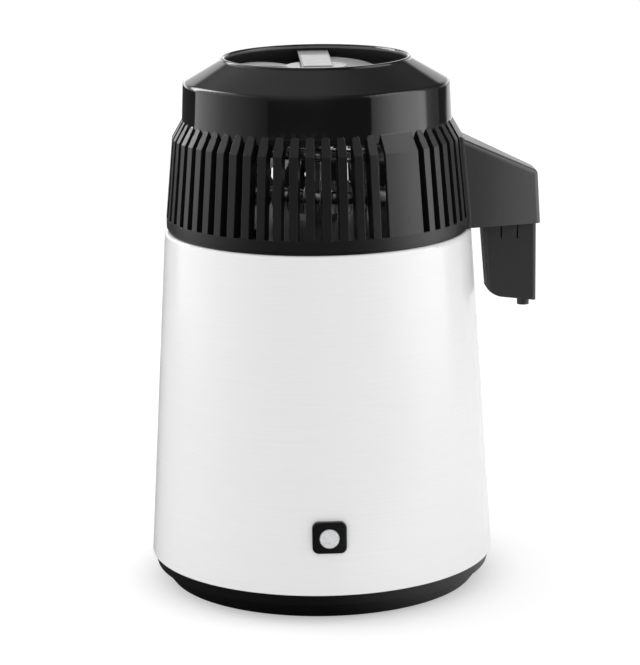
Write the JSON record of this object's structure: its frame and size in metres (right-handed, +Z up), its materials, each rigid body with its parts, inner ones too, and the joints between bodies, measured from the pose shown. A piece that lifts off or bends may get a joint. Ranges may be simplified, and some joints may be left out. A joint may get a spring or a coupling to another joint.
{
  "type": "water distiller",
  "caption": "Countertop water distiller: tapered boiler body on a moulded base, with a lift-off head that holds the fan, a finned condenser coil, and a spout with a filter cup.",
  "frame": {"origin": "on the pot's axis at the underside of the ring foot, where the distiller stands", "axes": "+Z up along the pot's axis; the front, with the reset button, faces -Y; the spout points nearly along +X"},
  "size_m": [0.2625, 0.239, 0.3523],
  "materials": {
    "base_plastic": "fine texture",
    "foot_rubber": "matte",
    "white_enamel": "semi-gloss",
    "pot_steel": "brushed",
    "zinc_steel": "zinc plated",
    "plate_aluminium": "satin",
    "element_steel": "heat dulled",
    "contact_brass": "bright",
    "copper_wire": "enamelled",
    "wire_insulation": "matte",
    "button_plastic": "gloss",
    "switch_plastic": "matte",
    "cover_plastic": "gloss",
    "cup_plastic": "satin",
    "carbon_cloth": "nonwoven",
    "coil_steel": "bright",
    "seal_silicone": "matte",
    "bar_plastic": "satin",
    "label_film": "satin",
    "fan_plastic": "satin",
    "rotor_magnet": "matte"
  },
  "bodies": {
    "base": {"base_moulding": "base_plastic", "bottom_plate": "zinc_steel", "bottom_screws": "zinc_steel", "foot_ring": "foot_rubber", "body_shell": "white_enamel", "boiler_pot": "pot_steel", "pot_studs": "zinc_steel", "stud_nuts": "zinc_steel", "stud_spacers": "zinc_steel", "heat_shield": "pot_steel", "heater_plate": "plate_aluminium", "heating_element": "element_steel", "element_terminals": "contact_brass", "boil_dry_thermostat": "element_steel", "thermostat_bracket": "zinc_steel", "bracket_nuts": "zinc_steel", "reset_bezel": "base_plastic", "reset_spring": "zinc_steel", "reset_switch": "switch_plastic", "switch_terminals": "contact_brass", "bezel_clip": "zinc_steel", "socket_panel": "base_plastic", "mains_inlet": "base_plastic", "mains_pins": "contact_brass", "fan_outlet": "base_plastic", "outlet_contacts": "contact_brass", "socket_screws": "zinc_steel", "base_wiring": "wire_insulation"},
    "reset_button": {"reset_button": "button_plastic"},
    "head": {"head_cover": "cover_plastic", "spout_housing": "cover_plastic", "spout_screws": "zinc_steel", "fan_lead_gland": "base_plastic", "condenser_coil": "coil_steel", "condenser_fins": "plate_aluminium", "coil_brackets": "zinc_steel", "steam_riser": "coil_steel", "outlet_tube": "coil_steel", "tube_couplings": "coil_steel", "outlet_grommet": "seal_silicone", "head_base_plate": "pot_steel", "head_screws": "zinc_steel", "head_gasket": "seal_silicone", "steam_port": "coil_steel", "port_nut": "coil_steel", "splash_baffle": "pot_steel", "motor_bridge": "bar_plastic", "bridge_screws": "zinc_steel", "label_plate": "label_film", "motor_base": "zinc_steel", "motor_bearings": "zinc_steel", "stator_core": "zinc_steel", "stator_winding": "copper_wire"},
    "fan": {"fan_blades": "fan_plastic", "fan_shaft": "zinc_steel", "shaft_clip": "zinc_steel", "rotor_ring": "rotor_magnet"},
    "filter_cup": {"filter_cup": "cup_plastic", "cup_strainer": "cup_plastic", "carbon_bag": "carbon_cloth"}
  },
  "joints": [
    {"name": "reset_press", "type": "slide", "parent": "base", "child": "reset_button", "axis": [0, 1, 0], "range_m": [0, 0.002], "stiffness_N_per_m": 400, "springref_m": -0.002, "deforming": ["reset_spring"]},
    {"name": "head_lift", "type": "slide", "parent": "base", "child": "head", "axis": [0, 0, 1], "range_m": [0, 0.15]},
    {"name": "fan_spin", "type": "hinge", "parent": "head", "child": "fan", "pos_m": [0, 0, 0.335], "axis": [0, 0, 1], "continuous": true},
    {"name": "filter_cup_pull", "type": "slide", "parent": "head", "child": "filter_cup", "axis": [0, 0, -1], "range_m": [0, 0.06]}
  ]
}
